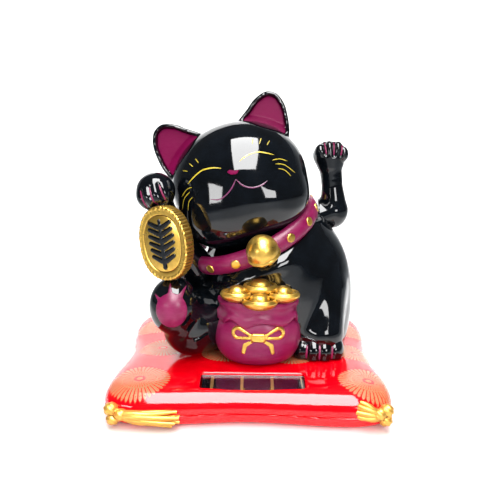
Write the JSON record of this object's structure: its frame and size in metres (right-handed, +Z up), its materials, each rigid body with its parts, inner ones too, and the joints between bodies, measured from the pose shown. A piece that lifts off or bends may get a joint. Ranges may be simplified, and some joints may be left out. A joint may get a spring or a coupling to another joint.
{
  "type": "beckoning cat figurine",
  "caption": "Solar-driven beckoning cat figurine on a square cushion base, with a coin, a money bag and a swinging raised arm.",
  "frame": {"origin": "middle of the cushion base's underside", "axes": "+Z up, the cat faces -Y, +X to the viewer's right"},
  "size_m": [0.1122, 0.1167, 0.1258],
  "materials": {
    "red_gloss": "gloss",
    "red_tray": "satin",
    "screw_steel": "satin",
    "axle_steel": "polished",
    "magnet_nickel": "polished",
    "window_clear": "clear gloss",
    "cell_dark": "gloss",
    "lead_sleeve": "matte",
    "board_green": "satin",
    "component_black": "matte",
    "coil_copper": "gloss",
    "mech_ivory": "matte",
    "gold_paint": "metallic gloss",
    "plum_paint": "gloss",
    "black_gloss": "gloss"
  },
  "bodies": {
    "figure": {"base_top_shell": "red_gloss", "base_bottom_tray": "red_tray", "base_screws": "screw_steel", "window_lens": "window_clear", "solar_cell": "cell_dark", "cell_leads": "lead_sleeve", "circuit_board": "board_green", "capacitor": "component_black", "driver_chip": "component_black", "coil_bobbin": "mech_ivory", "drive_coil": "coil_copper", "tassel_left": "gold_paint", "tassel_right": "gold_paint", "body_front_shell": "black_gloss", "body_rear_shell": "black_gloss", "body_screws": "screw_steel", "collar": "plum_paint", "bell": "gold_paint", "head_front_shell": "black_gloss", "head_rear_shell": "black_gloss", "holding_arm": "black_gloss", "left_leg": "black_gloss", "right_foot": "black_gloss", "coin": "gold_paint", "money_bag": "plum_paint", "ingots": "gold_paint", "bag_bow": "gold_paint", "bearing_bracket": "mech_ivory", "bracket_screws": "screw_steel"},
    "waving_arm": {"swing_axle": "axle_steel", "arm_front_half": "black_gloss", "arm_rear_half": "black_gloss", "pendulum_lever": "mech_ivory", "magnet": "magnet_nickel"}
  },
  "joints": [
    {"name": "arm_swing", "type": "hinge", "parent": "figure", "child": "waving_arm", "pos_m": [0.03, 0.012, 0.071], "axis": [1, 0, 0], "range_deg": [-15, 15]}
  ]
}
